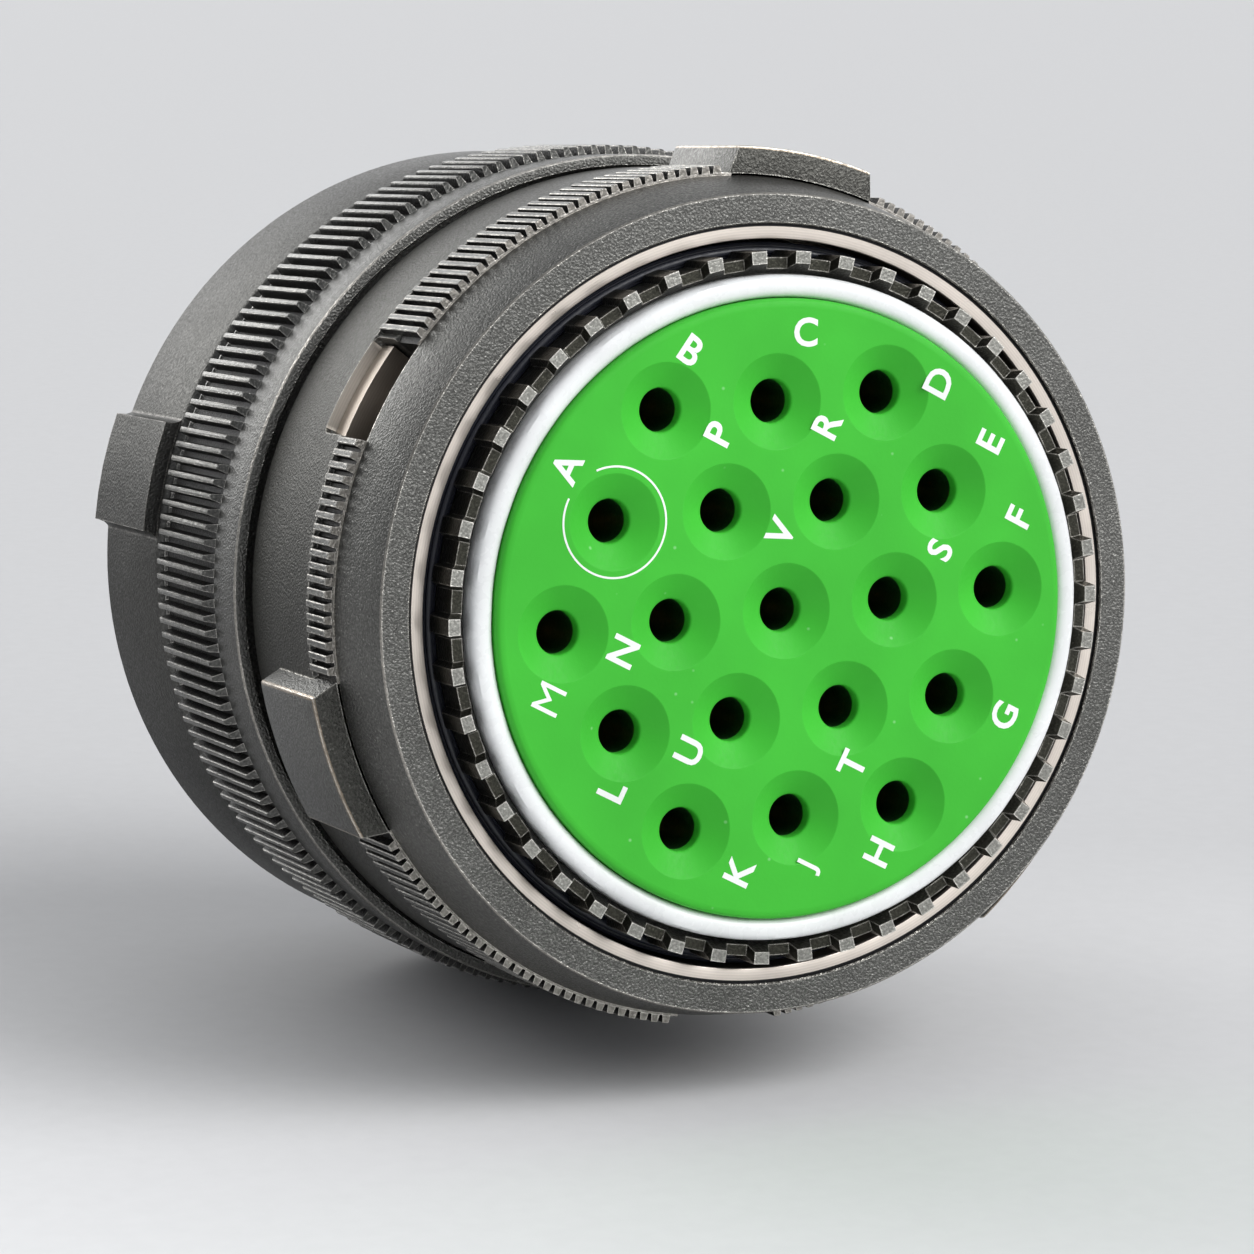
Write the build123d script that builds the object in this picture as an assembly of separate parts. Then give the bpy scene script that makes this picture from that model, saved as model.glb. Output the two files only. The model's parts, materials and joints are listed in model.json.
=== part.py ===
from build123d import *
import os
from math import cos, radians, sin, sqrt

# Circular cable plug with a bayonet coupling ring and nineteen socket contacts.
# The plug stands on the end of its rear boss. +Z runs along the axis to the mating face,
# the origin is the centre of the boss end, and +Y points to the top of the contact letters.
# All sizes are in millimetres.

# Heights along the axis, in the order in which the pieces follow each other
boss_length = 7.0
rear_section_length = 8.8
nut_rear_gap = 0.2
coarse_knurl_length = 7.8
nut_band_length = 3.0
ring_rear_gap = 0.4
ring_length = 14.1
face_proud = 2.0

# Clearances, and how far a cutter reaches past the wall that it opens
bond_clearance = 0.02
running_clearance = 0.08
thread_clearance = 0.08
seat_gap = 0.03
cut_overlap = 1.0

# Contact layout
contact_pitch = 5.35
layout_turn = -60.0
contact_names = "bcdapremnvsflutgkjh"
row_counts = (3, 4, 5, 4, 3)

# Resilient face and the inserts
face_rim = 0.98
face_thickness = 4.8
face_edge_round = 0.25
dish_radius = 2.1
dish_depth = 0.5
face_hole_radius = 0.975
cavity_radius = 1.3
cavity_collar_radius = 1.65
socket_insert_length = 10.0
entry_thickness = 0.4
follower_gap = 0.1
wire_hole_radius = 1.0
follower_length = 2.9
follower_hole_radius = 1.45

# White sleeve round the face
sleeve_wall = 1.0
sleeve_recess = 0.25
sleeve_round = 0.4

# Socket contact
contact_radius = 1.25
contact_bore_radius = 0.81
contact_bore_depth = 6.0
contact_mouth_chamfer = 0.15
contact_collar_radius = 1.6
contact_collar_length = 1.0
contact_collar_from_rear = 2.5
barrel_radius = 1.1
barrel_length = 4.5
barrel_bore_radius = 0.6
barrel_bore_depth = 3.5

# Shell
nose_wall = 0.68
spigot_wall = 0.38
spigot_length = 1.0
shell_wall = 1.08
shell_rear_wall = 1.68
shell_step_height = 0.05
shell_shoulder_width = 0.92
shell_shoulder_thickness = 1.0
flange_height = 1.0
flange_thickness = 1.0
snap_groove_depth = 0.5

# Toothed ring on the nose
ridge_height = 0.35
teeth_count = 46
teeth_ring_height = 2.2
teeth_recess = 0.4
tooth_depth = 1.0
ridge_width = 0.06
teeth_chamfer_width = 0.4
teeth_chamfer_height = 0.8

# Gasket in the annular cavity
gasket_height = 2.5
gasket_depth = 0.7
gasket_wall = 0.68
gasket_gap = 0.25
gasket_rib_count = 3
gasket_rib_height = 0.12

# Coupling ring, from its rim to its rear edge
ring_wall = 2.18
rim_taper = 1.1
band_end_drop = 0.35
rim_inner_chamfer = 0.08
knurl_crest_height = 0.12
knurl_root_depth = 0.25
fine_knurl_count = 186
front_band_length = 3.8
short_knurl_length = 2.4
long_knurl_length = 4.7
rear_chamfer = 0.35
pattern_count = 3
ring_angle = 136.5
lug_width_angle = 22.0
lug_top_angle = 19.0
lug_height = 1.0
lug_seat_depth = 0.6
lug_length = 7.0
window_offset_angle = -50.2
window_width_angle = 14.4
window_length = 4.6
long_knurl_start_angle = -57.5
long_knurl_end_angle = -109.0
shoulder_thickness = 1.1
skirt_wall = 1.45

# Steel sleeve with the bayonet ramps
sleeve_thickness = 0.8
sleeve_edge_recess = 0.2
sleeve_edge_chamfer = 0.15
ramp_depth = 0.35
ramp_width = 2.7
ramp_turn_angle = 70.0
ramp_entry_depth = 3.0
ramp_drop = 2.4
detent_radius = 1.55
sight_hole_radius = 0.75
sight_hole_offset_angle = 3.4
sight_hole_depth = 1.7
tab_length = 1.35
tab_recess = 0.5
tab_side_angle = 0.6

# Spring, washer and snap ring
washer_thickness = 0.5
spring_height = 1.1
spring_thickness = 0.4
spring_waves = 3
spring_steps_per_wave = 12
snap_ring_gap_angle = 9.0
snap_ring_thickness = 1.0
snap_ring_width = 1.98

# Rear nut
nut_skirt_wall = 2.85
coarse_crest_height = 0.55
coarse_root_height = 0.1
coarse_knurl_count = 180
nut_edge_chamfer = 0.12
collar_gap = 0.35
nut_wall = 1.2
wire_ring_thickness = 0.6
wire_ring_inset = 0.3
wire_ring_bite = 0.45
nut_washer_thickness = 0.3

# Rear body
boss_wall = 4.9
boss_chamfer = 0.6
section_height = 4.3
section_chamfer = 0.5
collar_height = 0.95
collar_thickness = 1.1
wire_bore_radius = 11.0
wire_bore_length = 3.0
follower_seat_width = 0.8
bay_cone_length = 3.0
wrench_lug_count = 3
wrench_lug_angle = 104.0
wrench_lug_width = 15.0
wrench_lug_height = 0.7
seal_section_radius = 0.4
seal_squeeze = 0.05

# Heights worked out from the sizes above
section_z = boss_length
section_top_z = section_z + rear_section_length
nut_z = section_top_z + nut_rear_gap
nut_band_z = nut_z + coarse_knurl_length
nut_top_z = nut_band_z + nut_band_length
ring_z = nut_top_z + ring_rear_gap
rim_z = ring_z + ring_length
face_z = rim_z + face_proud
face_rear_z = face_z - face_thickness
insert_z = face_rear_z - socket_insert_length
grommet_top_z = insert_z - shell_shoulder_thickness
wire_ring_z = nut_z + wire_ring_inset
nut_washer_z = wire_ring_z + wire_ring_thickness
collar_z = nut_washer_z + nut_washer_thickness
shell_z = collar_z + collar_thickness
grommet_z = shell_z - follower_gap
follower_z = grommet_z - follower_length
snap_ring_z = ring_z + ring_rear_gap / 2
shoulder_z = snap_ring_z + snap_ring_thickness + seat_gap
washer_z = shoulder_z + shoulder_thickness + seat_gap
spring_z = washer_z + washer_thickness
flange_z = spring_z + spring_height
flange_top_z = flange_z + flange_thickness
sleeve_z = flange_top_z + seat_gap
knurl_z = rim_z - front_band_length
gasket_top_z = rim_z - gasket_depth
gasket_z = gasket_top_z - gasket_height
teeth_top_z = face_z - teeth_recess
teeth_z = teeth_top_z - teeth_ring_height

# Radii worked out from the sizes above, from the middle outwards
layout_radius = len(row_counts) // 2 * contact_pitch
insert_radius = layout_radius + dish_radius + face_rim
insert_sleeve_radius = insert_radius + bond_clearance + sleeve_wall
shell_bore_radius = insert_sleeve_radius + bond_clearance
shell_shoulder_radius = shell_bore_radius - shell_shoulder_width
nose_radius = shell_bore_radius + nose_wall
spigot_radius = shell_bore_radius + spigot_wall
shell_radius = shell_bore_radius + shell_wall
shell_step_radius = shell_radius + shell_step_height
flange_radius = shell_radius + flange_height
grommet_radius = shell_radius - shell_rear_wall - bond_clearance
valley_radius = nose_radius
ridge_radius = valley_radius + ridge_height
teeth_bore_radius = spigot_radius + bond_clearance
ring_seat_radius = shell_radius + running_clearance
sleeve_bore_radius = nose_radius + bond_clearance + gasket_wall + gasket_gap
sleeve_outer_radius = sleeve_bore_radius + sleeve_thickness
ring_bore_radius = sleeve_outer_radius + bond_clearance
ring_radius = ring_bore_radius + ring_wall
skirt_bore_radius = ring_radius - skirt_wall
snap_ring_radius = shell_radius - snap_groove_depth + bond_clearance + snap_ring_width
thread_bore_radius = shell_radius + thread_clearance
neck_radius = shell_radius
collar_radius = neck_radius + collar_height
nut_recess_radius = collar_radius + collar_gap
nut_radius = nut_recess_radius + nut_skirt_wall
boss_radius = wire_bore_radius + boss_wall
rear_section_radius = neck_radius + section_height
bay_radius = grommet_radius - follower_seat_width
knurl_root_radius = ring_radius - knurl_root_depth
knurl_crest_radius = ring_radius + knurl_crest_height
coarse_root_radius = nut_radius + coarse_root_height
coarse_crest_radius = nut_radius + coarse_crest_height
seal_seat_radius = grommet_radius + bond_clearance
seal_radius = (seal_seat_radius + shell_radius) / 2


def turned(profile):
    """Solid of revolution about Z from (radius, height) points."""
    outline = make_face(Plane.XZ * Polyline(*profile, close=True))
    return revolve(outline, Axis.Z, 360)


def tube(bore, radius, low, high):
    """Plain ring between two radii and two heights."""
    return extrude(Plane.XY.offset(low) * (Circle(radius) - Circle(bore)), high - low)


def rod(radius, low, high, x=0, y=0):
    """Plain cylinder at (x, y)."""
    return extrude(Plane.XY.offset(low) * Pos(x, y) * Circle(radius), high - low)


def polar(radius, angle):
    return (radius * cos(radians(angle)), radius * sin(radians(angle)))


def arc_points(radius, start, end, chords=6):
    """Points on a circle between two angles."""
    turn = (end - start) / chords
    return [polar(radius, start + turn * i) for i in range(chords + 1)]


def sector(bore, radius, start, end, low, high):
    """Block of a ring between two angles, with straight short chords for its round walls."""
    outer = arc_points(radius, start, end)
    inner = arc_points(bore, start, end)
    outline = make_face(Polyline(*outer, *reversed(inner), close=True))
    return extrude(Plane.XY.offset(low) * outline, high - low)


def knurled_band(bore, root, crest, count, low, high, is_knurled):
    """Band with straight V-shaped ridges where is_knurled(angle) holds, and smooth elsewhere."""
    pitch = 360 / count
    points = []
    for i in range(count):
        angle = i * pitch
        ridge = is_knurled(angle)
        points.append(polar(root if ridge else ring_radius, angle))
        points.append(polar(crest if ridge else ring_radius, angle + pitch / 2))
    outline = make_face(Polyline(*points, close=True)) - Circle(bore)
    return extrude(Plane.XY.offset(low) * outline, high - low)


def contact_places():
    """Names and (x, y) places of the hexagonal layout, row by row from the top."""
    row_step = contact_pitch * sqrt(3) / 2
    places = {}
    names = iter(contact_names)
    for row, length in enumerate(row_counts):
        y = (len(row_counts) // 2 - row) * row_step
        for i in range(length):
            x = (i - (length - 1) / 2) * contact_pitch
            radius = sqrt(x * x + y * y)
            turned_place = Vector(x, y, 0).rotate(Axis.Z, layout_turn)
            places[next(names)] = (turned_place.X, turned_place.Y) if radius else (0, 0)
    return places


places = contact_places()


def drilled(body, radius, low, high):
    """The body with one round hole at each contact place."""
    return body - [rod(radius, low, high, x, y) for x, y in places.values()]


def make_front_insert():
    """Resilient face with a dished, drilled mouth at each contact."""
    body = rod(insert_radius, face_rear_z, face_z)
    body = fillet(body.edges().group_by(Axis.Z)[-1], face_edge_round)
    body = drilled(body, face_hole_radius, face_rear_z, face_z)
    dish = Cone(face_hole_radius, dish_radius, dish_depth)
    middle_z = face_z - dish_depth / 2
    return body - [Pos(x, y, middle_z) * dish for x, y in places.values()]


def make_insert_sleeve():
    """White ring round the face, with a rounded top."""
    low = insert_radius + bond_clearance
    body = tube(low, insert_sleeve_radius, face_rear_z, face_z - sleeve_recess)
    return fillet(body.edges().group_by(Axis.Z)[-1], sleeve_round)


def make_socket_insert():
    """Rigid block with a stepped cavity for each contact."""
    low_radius = shell_shoulder_radius - bond_clearance
    body = rod(insert_sleeve_radius, insert_z, face_rear_z)
    body += rod(low_radius, grommet_top_z, insert_z)
    body = drilled(body, face_hole_radius, face_rear_z - entry_thickness, face_rear_z)
    body = drilled(body, cavity_radius, grommet_top_z, face_rear_z - entry_thickness)
    collar_z_low = insert_z + contact_collar_from_rear - bond_clearance
    collar_z_high = collar_z_low + contact_collar_length + 2 * bond_clearance
    return drilled(body, cavity_collar_radius, collar_z_low, collar_z_high)


def make_rear_grommet():
    """Resilient block that grips each contact barrel and its wire."""
    body = rod(grommet_radius, grommet_z, grommet_top_z)
    barrel_z = insert_z - barrel_length
    body = drilled(body, wire_hole_radius, grommet_z, barrel_z)
    return drilled(body, barrel_radius + bond_clearance, barrel_z, grommet_top_z)


def make_grommet_follower():
    """Rigid plate behind the grommet."""
    body = rod(grommet_radius, follower_z, grommet_z)
    return drilled(body, follower_hole_radius, follower_z, grommet_z)


def make_contact(x, y):
    """Turned socket contact with a crimp barrel at its rear."""
    front_z = face_rear_z - entry_thickness - bond_clearance
    rear_z = insert_z - barrel_length + bond_clearance
    collar_low = insert_z + contact_collar_from_rear
    collar_high = collar_low + contact_collar_length
    bore_z = front_z - contact_bore_depth
    mouth = contact_bore_radius + contact_mouth_chamfer
    profile = [
        (0, rear_z + barrel_bore_depth),
        (barrel_bore_radius, rear_z + barrel_bore_depth),
        (barrel_bore_radius, rear_z),
        (barrel_radius, rear_z),
        (barrel_radius, insert_z),
        (contact_radius, insert_z),
        (contact_radius, collar_low),
        (contact_collar_radius, collar_low),
        (contact_collar_radius, collar_high),
        (contact_radius, collar_high),
        (contact_radius, front_z),
        (mouth, front_z),
        (contact_bore_radius, front_z - contact_mouth_chamfer),
        (contact_bore_radius, bore_z),
        (0, bore_z),
    ]
    return Pos(x, y, 0) * turned(profile)


def make_plug_shell():
    """Shell with its nose, flange, snap ring groove and rear thread."""
    groove_radius = shell_radius - snap_groove_depth
    groove_low = snap_ring_z - seat_gap
    groove_high = snap_ring_z + snap_ring_thickness + seat_gap
    grommet_bore = grommet_radius + bond_clearance
    profile = [
        (grommet_bore, shell_z),
        (shell_radius, shell_z),
        (shell_radius, groove_low),
        (groove_radius, groove_low),
        (groove_radius, groove_high),
        (shell_radius, groove_high),
        (shell_radius, flange_z),
        (flange_radius, flange_z),
        (flange_radius, flange_top_z),
        (shell_step_radius, flange_top_z),
        (shell_step_radius, gasket_z),
        (nose_radius, gasket_z),
        (nose_radius, teeth_z),
        (spigot_radius, teeth_z),
        (spigot_radius, teeth_z + spigot_length),
        (shell_bore_radius, teeth_z + spigot_length),
        (shell_bore_radius, insert_z),
        (shell_shoulder_radius, insert_z),
        (shell_shoulder_radius, grommet_top_z),
        (grommet_bore, grommet_top_z),
    ]
    return turned(profile)


def make_toothed_ring():
    """Grounding ring with a crown of V-shaped ridges and a fluted wall, on the spigot of the nose."""
    half_pitch = 180 / teeth_count
    flutes = []
    for i in range(teeth_count):
        flutes.append(polar(ridge_radius, 2 * i * half_pitch))
        flutes.append(polar(valley_radius, (2 * i + 1) * half_pitch))
    outline = make_face(Polyline(*flutes, close=True))
    lip_z = teeth_z + spigot_length + seat_gap
    body = extrude(Plane.XY.offset(teeth_z) * (outline - Circle(teeth_bore_radius)), lip_z - teeth_z)
    body += extrude(Plane.XY.offset(lip_z) * (outline - Circle(shell_bore_radius)), teeth_top_z - lip_z)
    body -= turned([
        (shell_bore_radius, teeth_top_z - teeth_chamfer_height),
        (shell_bore_radius + teeth_chamfer_width, teeth_top_z),
        (shell_bore_radius, teeth_top_z),
    ])
    half_notch = radians(half_pitch) * shell_bore_radius - ridge_width / 2
    notch = Polyline(
        (0, teeth_top_z - tooth_depth), (half_notch, teeth_top_z), (-half_notch, teeth_top_z), close=True
    )
    reach = ridge_radius - shell_bore_radius + 2 * cut_overlap
    cutter = extrude(Plane.YZ.offset(shell_bore_radius - cut_overlap) * make_face(notch), reach)
    return body - [Rot(0, 0, (2 * i + 1) * half_pitch) * cutter for i in range(teeth_count)]


def make_joint_gasket():
    """Rubber ring round the nose, with fine ribs on its top."""
    bore = nose_radius + bond_clearance
    outer = bore + gasket_wall
    rib = gasket_wall / gasket_rib_count
    profile = [(bore, gasket_z), (outer, gasket_z)]
    for i in range(gasket_rib_count):
        edge = outer - i * rib
        profile.append((edge, gasket_top_z - gasket_rib_height))
        profile.append((edge - rib / 2, gasket_top_z))
    profile.append((bore, gasket_top_z - gasket_rib_height))
    return turned(profile)


def is_long_knurl(angle):
    """True where the ridges of the fine knurl run on past the short ones."""
    share = 360 / pattern_count
    place = (ring_angle - angle) % share
    return -long_knurl_start_angle <= place <= -long_knurl_end_angle


def lug(low, high):
    """Grip lug with sloping flanks, as a block on the wall of the ring."""
    half_base = lug_width_angle / 2
    half_top = lug_top_angle / 2
    base_radius = ring_radius - lug_seat_depth
    top = arc_points(ring_radius + lug_height, half_top, -half_top)
    outline = Polyline(
        polar(base_radius, half_base), *top, polar(base_radius, -half_base), close=True
    )
    return extrude(Plane.XY.offset(low) * make_face(outline), high - low)


def make_coupling_ring():
    """Coupling ring with its fine knurl, grip lugs and sight windows."""
    long_z = knurl_z - long_knurl_length
    short_z = knurl_z - short_knurl_length
    front = turned([
        (ring_bore_radius, knurl_z),
        (ring_radius - band_end_drop, knurl_z),
        (ring_radius - rim_taper, rim_z),
        (ring_bore_radius + rim_inner_chamfer, rim_z),
        (ring_bore_radius, rim_z - rim_inner_chamfer),
    ])
    rear = turned([
        (skirt_bore_radius, ring_z),
        (ring_radius - rear_chamfer, ring_z),
        (ring_radius, ring_z + rear_chamfer),
        (ring_radius, long_z),
        (ring_bore_radius, long_z),
        (ring_bore_radius, shoulder_z + shoulder_thickness),
        (ring_seat_radius, shoulder_z + shoulder_thickness),
        (ring_seat_radius, shoulder_z),
        (skirt_bore_radius, shoulder_z),
    ])
    long_band = knurled_band(ring_bore_radius, knurl_root_radius, knurl_crest_radius,
                             fine_knurl_count, long_z, short_z, is_long_knurl)
    short_band = knurled_band(ring_bore_radius, knurl_root_radius, knurl_crest_radius,
                              fine_knurl_count, short_z, knurl_z, lambda angle: True)
    body = front + short_band + long_band + rear
    for i in range(pattern_count):
        turn = Rot(0, 0, ring_angle + i * 360 / pattern_count)
        body += turn * lug(knurl_z - lug_length, knurl_z)
    for i in range(pattern_count):
        middle = ring_angle + window_offset_angle + i * 360 / pattern_count
        half = window_width_angle / 2
        body -= sector(ring_bore_radius - cut_overlap, ring_radius + cut_overlap,
                       middle - half, middle + half, knurl_z - window_length, knurl_z)
    return body


def ramp_cutters():
    """Spiral bayonet groove: a straight entry at the rim, a helix, a detent and two sight holes."""
    entry_height = ramp_entry_depth + ramp_width
    entry = Box(2 * ramp_depth, ramp_width, entry_height)
    entry_z = rim_z - ramp_entry_depth
    path = Helix(ramp_drop * 360 / ramp_turn_angle, ramp_drop, sleeve_bore_radius)
    start = Plane(origin=path @ 0, z_dir=path % 0, x_dir=(1, 0, 0))
    spiral = sweep(start * Rectangle(2 * ramp_depth, ramp_width), path=path, is_frenet=True)
    detent = Rot(0, 90, 0) * Cylinder(detent_radius, 2 * ramp_depth)
    hole = Rot(0, 90, 0) * Cylinder(sight_hole_radius, 2 * (sleeve_thickness + cut_overlap))
    low_z = entry_z - ramp_drop
    hole_z = knurl_z - sight_hole_depth
    cutters = [
        Rot(0, 0, ramp_turn_angle) * Pos(sleeve_bore_radius, 0, entry_z + entry_height / 2) * entry,
        Pos(0, 0, low_z) * spiral,
        Pos(sleeve_bore_radius, 0, low_z) * detent,
    ]
    for turn in (-sight_hole_offset_angle, sight_hole_offset_angle):
        cutters.append(Rot(0, 0, turn) * Pos(sleeve_bore_radius, 0, hole_z) * hole)
    return cutters


def make_ramp_sleeve():
    """Steel sleeve with three spiral ramps, and a tab in each sight window."""
    top = rim_z - sleeve_edge_recess
    body = turned([
        (sleeve_bore_radius, sleeve_z),
        (sleeve_outer_radius, sleeve_z),
        (sleeve_outer_radius, top - sleeve_edge_chamfer),
        (sleeve_outer_radius - sleeve_edge_chamfer, top),
        (sleeve_bore_radius + sleeve_edge_chamfer, top),
        (sleeve_bore_radius, top - sleeve_edge_chamfer),
    ])
    cutters = ramp_cutters()
    tab_z = knurl_z - window_length + seat_gap
    half = (window_width_angle - tab_side_angle) / 2
    for i in range(pattern_count):
        middle = ring_angle + window_offset_angle + i * 360 / pattern_count
        body -= [Rot(0, 0, middle) * cutter for cutter in cutters]
        body += sector(sleeve_bore_radius + ramp_depth, ring_radius - tab_recess,
                       middle - half, middle + half, tab_z, tab_z + tab_length)
    return body


def make_wave_spring():
    """Flat spring ribbon that rises and falls round the shell."""
    width = flange_radius - ring_seat_radius
    middle_radius = ring_seat_radius + width / 2
    middle_z = spring_z + spring_height / 2
    rise = (spring_height - spring_thickness) / 2 - seat_gap
    steps = spring_waves * spring_steps_per_wave
    ribbon = Rectangle(width, spring_thickness)
    sections = []
    for i in range(steps):
        angle = 360 * i / steps
        height = middle_z + rise * cos(radians(spring_waves * angle))
        place = Vector(*polar(middle_radius, angle), height)
        outward = (*polar(1, angle), 0)
        along = (*polar(1, angle + 90), 0)
        sections.append(Plane(origin=place, x_dir=outward, z_dir=along) * ribbon)
    pieces = [loft([sections[i - 1], sections[i]], ruled=True) for i in range(steps)]
    return Part() + pieces


def make_spring_washer():
    """Flat washer that carries the spring load into the ring."""
    return tube(ring_seat_radius, flange_radius, washer_z, washer_z + washer_thickness)


def make_shell_snap_ring():
    """Split ring in the groove of the shell."""
    groove_radius = shell_radius - snap_groove_depth
    high_z = snap_ring_z + snap_ring_thickness
    body = tube(groove_radius + bond_clearance, snap_ring_radius, snap_ring_z, high_z)
    half_gap = snap_ring_gap_angle / 2
    return body - sector(groove_radius - cut_overlap, snap_ring_radius + cut_overlap,
                         -half_gap, half_gap, snap_ring_z, high_z)


def make_rear_nut():
    """Knurled nut with an internal thread, a recess and a wire ring groove."""
    top = nut_top_z
    wire_groove_radius = nut_recess_radius + wire_ring_bite
    recess_top = shell_z
    knurl = knurled_band(nut_recess_radius, coarse_root_radius, coarse_crest_radius,
                         coarse_knurl_count, nut_z, nut_band_z, lambda angle: True)
    inner = turned([
        (nut_recess_radius, recess_top),
        (nut_recess_radius + nut_wall, recess_top),
        (nut_recess_radius + nut_wall, nut_band_z),
        (thread_bore_radius, nut_band_z),
        (thread_bore_radius, recess_top),
    ])
    band = turned([
        (thread_bore_radius, nut_band_z),
        (nut_radius, nut_band_z),
        (nut_radius, top - nut_edge_chamfer),
        (nut_radius - nut_edge_chamfer, top),
        (thread_bore_radius, top),
    ])
    groove = tube(nut_recess_radius - cut_overlap, wire_groove_radius + bond_clearance,
                  wire_ring_z - seat_gap, nut_washer_z + seat_gap)
    return knurl + inner + band - groove


def make_nut_wire_ring():
    """Ring in the groove of the nut, behind the collar of the rear body."""
    return tube(neck_radius + running_clearance, nut_recess_radius + wire_ring_bite,
                wire_ring_z, nut_washer_z)


def make_nut_washer():
    """Slip washer between the wire ring and the collar."""
    return tube(neck_radius + running_clearance, collar_radius, nut_washer_z + seat_gap, collar_z)


def make_rear_body():
    """Hollow rear body with a threaded boss, wrench lugs and a collar for the nut."""
    groove_z = shell_z - 2 * seal_section_radius
    profile = [
        (wire_bore_radius, 0),
        (boss_radius - boss_chamfer, 0),
        (boss_radius, boss_chamfer),
        (boss_radius, section_z),
        (rear_section_radius - section_chamfer, section_z),
        (rear_section_radius, section_z + section_chamfer),
        (rear_section_radius, section_top_z - section_chamfer),
        (rear_section_radius - section_chamfer, section_top_z),
        (neck_radius, section_top_z),
        (neck_radius, collar_z),
        (collar_radius, collar_z),
        (collar_radius, shell_z),
        (seal_radius + seal_section_radius, shell_z),
        (seal_radius + seal_section_radius, groove_z),
        (seal_radius - seal_section_radius, groove_z),
        (seal_radius - seal_section_radius, shell_z),
        (seal_seat_radius, shell_z),
        (seal_seat_radius, follower_z),
        (bay_radius, follower_z),
        (bay_radius, wire_bore_length + bay_cone_length),
        (wire_bore_radius, wire_bore_length),
    ]
    body = turned(profile)
    half = wrench_lug_width / 2
    for i in range(wrench_lug_count):
        middle = wrench_lug_angle + i * 360 / wrench_lug_count
        body += sector(neck_radius, rear_section_radius + wrench_lug_height,
                       middle - half, middle + half, section_z + section_chamfer,
                       section_top_z - section_chamfer)
    return body


def make_body_seal():
    """O-ring in the front face of the collar."""
    section = seal_section_radius - seal_squeeze
    return Pos(0, 0, shell_z - seal_section_radius) * Torus(seal_radius, section)


nodes = {
    "plug_shell": make_plug_shell(),
    "toothed_ring": make_toothed_ring(),
    "insert_sleeve": make_insert_sleeve(),
    "front_insert": make_front_insert(),
    "socket_insert": make_socket_insert(),
    "rear_grommet": make_rear_grommet(),
    "grommet_follower": make_grommet_follower(),
    "joint_gasket": make_joint_gasket(),
    "coupling_ring": make_coupling_ring(),
    "ramp_sleeve": make_ramp_sleeve(),
    "wave_spring": make_wave_spring(),
    "spring_washer": make_spring_washer(),
    "shell_snap_ring": make_shell_snap_ring(),
    "rear_nut": make_rear_nut(),
    "nut_wire_ring": make_nut_wire_ring(),
    "nut_washer": make_nut_washer(),
    "rear_body": make_rear_body(),
    "body_seal": make_body_seal(),
}
for name, (x, y) in places.items():
    nodes["contact_" + name] = make_contact(x, y)

os.makedirs("parts", exist_ok=True)
for name, solid in nodes.items():
    export_step(solid, "parts/" + name + ".step")
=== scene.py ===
import json
import math

import bmesh
import bpy
from mathutils import Matrix, Vector

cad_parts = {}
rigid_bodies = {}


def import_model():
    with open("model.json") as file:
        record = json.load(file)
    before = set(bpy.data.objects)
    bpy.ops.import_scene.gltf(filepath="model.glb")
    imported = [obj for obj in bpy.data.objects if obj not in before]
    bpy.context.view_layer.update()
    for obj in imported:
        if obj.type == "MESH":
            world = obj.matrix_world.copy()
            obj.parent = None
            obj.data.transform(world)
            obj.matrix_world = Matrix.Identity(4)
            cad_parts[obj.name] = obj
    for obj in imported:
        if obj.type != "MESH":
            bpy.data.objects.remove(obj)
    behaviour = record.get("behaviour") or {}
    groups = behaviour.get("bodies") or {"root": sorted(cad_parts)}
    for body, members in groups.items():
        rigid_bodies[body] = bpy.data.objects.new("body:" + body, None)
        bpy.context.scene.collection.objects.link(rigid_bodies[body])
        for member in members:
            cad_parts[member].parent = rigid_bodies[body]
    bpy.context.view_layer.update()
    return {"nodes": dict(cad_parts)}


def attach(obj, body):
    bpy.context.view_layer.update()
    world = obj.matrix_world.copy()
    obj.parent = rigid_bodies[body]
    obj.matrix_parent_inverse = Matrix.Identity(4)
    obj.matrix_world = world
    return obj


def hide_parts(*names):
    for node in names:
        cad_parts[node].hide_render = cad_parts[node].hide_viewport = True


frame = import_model()

# Plug shell: a turned aluminium tube with a nose, a flange and a thread, all under a dark olive plating.
# The plating is blasted before it is dipped, which leaves a fine grain. It rubs bright along the edges.


def feed(tree, value, socket):
    """Links a socket to an input, or sets the input to a colour, a direction or a number."""
    if isinstance(value, bpy.types.NodeSocket):
        tree.links.new(value, socket)
    elif isinstance(value, tuple):
        socket.default_value = (*value, 1)
    else:
        socket.default_value = value


def noise(tree, vector, scale, detail):
    """Noise over the object coordinates."""
    texture = tree.nodes.new("ShaderNodeTexNoise")
    feed(tree, scale, texture.inputs["Scale"])
    feed(tree, detail, texture.inputs["Detail"])
    feed(tree, vector, texture.inputs["Vector"])
    return texture.outputs["Fac"]


def spread(tree, value, low, high, out_low=0.0, out_high=1.0):
    """Maps one band of values to another, and clamps it."""
    node = tree.nodes.new("ShaderNodeMapRange")
    feed(tree, value, node.inputs["Value"])
    feed(tree, low, node.inputs["From Min"])
    feed(tree, high, node.inputs["From Max"])
    feed(tree, out_low, node.inputs["To Min"])
    feed(tree, out_high, node.inputs["To Max"])
    return node.outputs["Result"]


def combine(tree, operation, first, second):
    """Math node of two sockets, or of a socket and a number."""
    node = tree.nodes.new("ShaderNodeMath")
    node.operation = operation
    feed(tree, first, node.inputs[0])
    feed(tree, second, node.inputs[1])
    return node.outputs["Value"]


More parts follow.
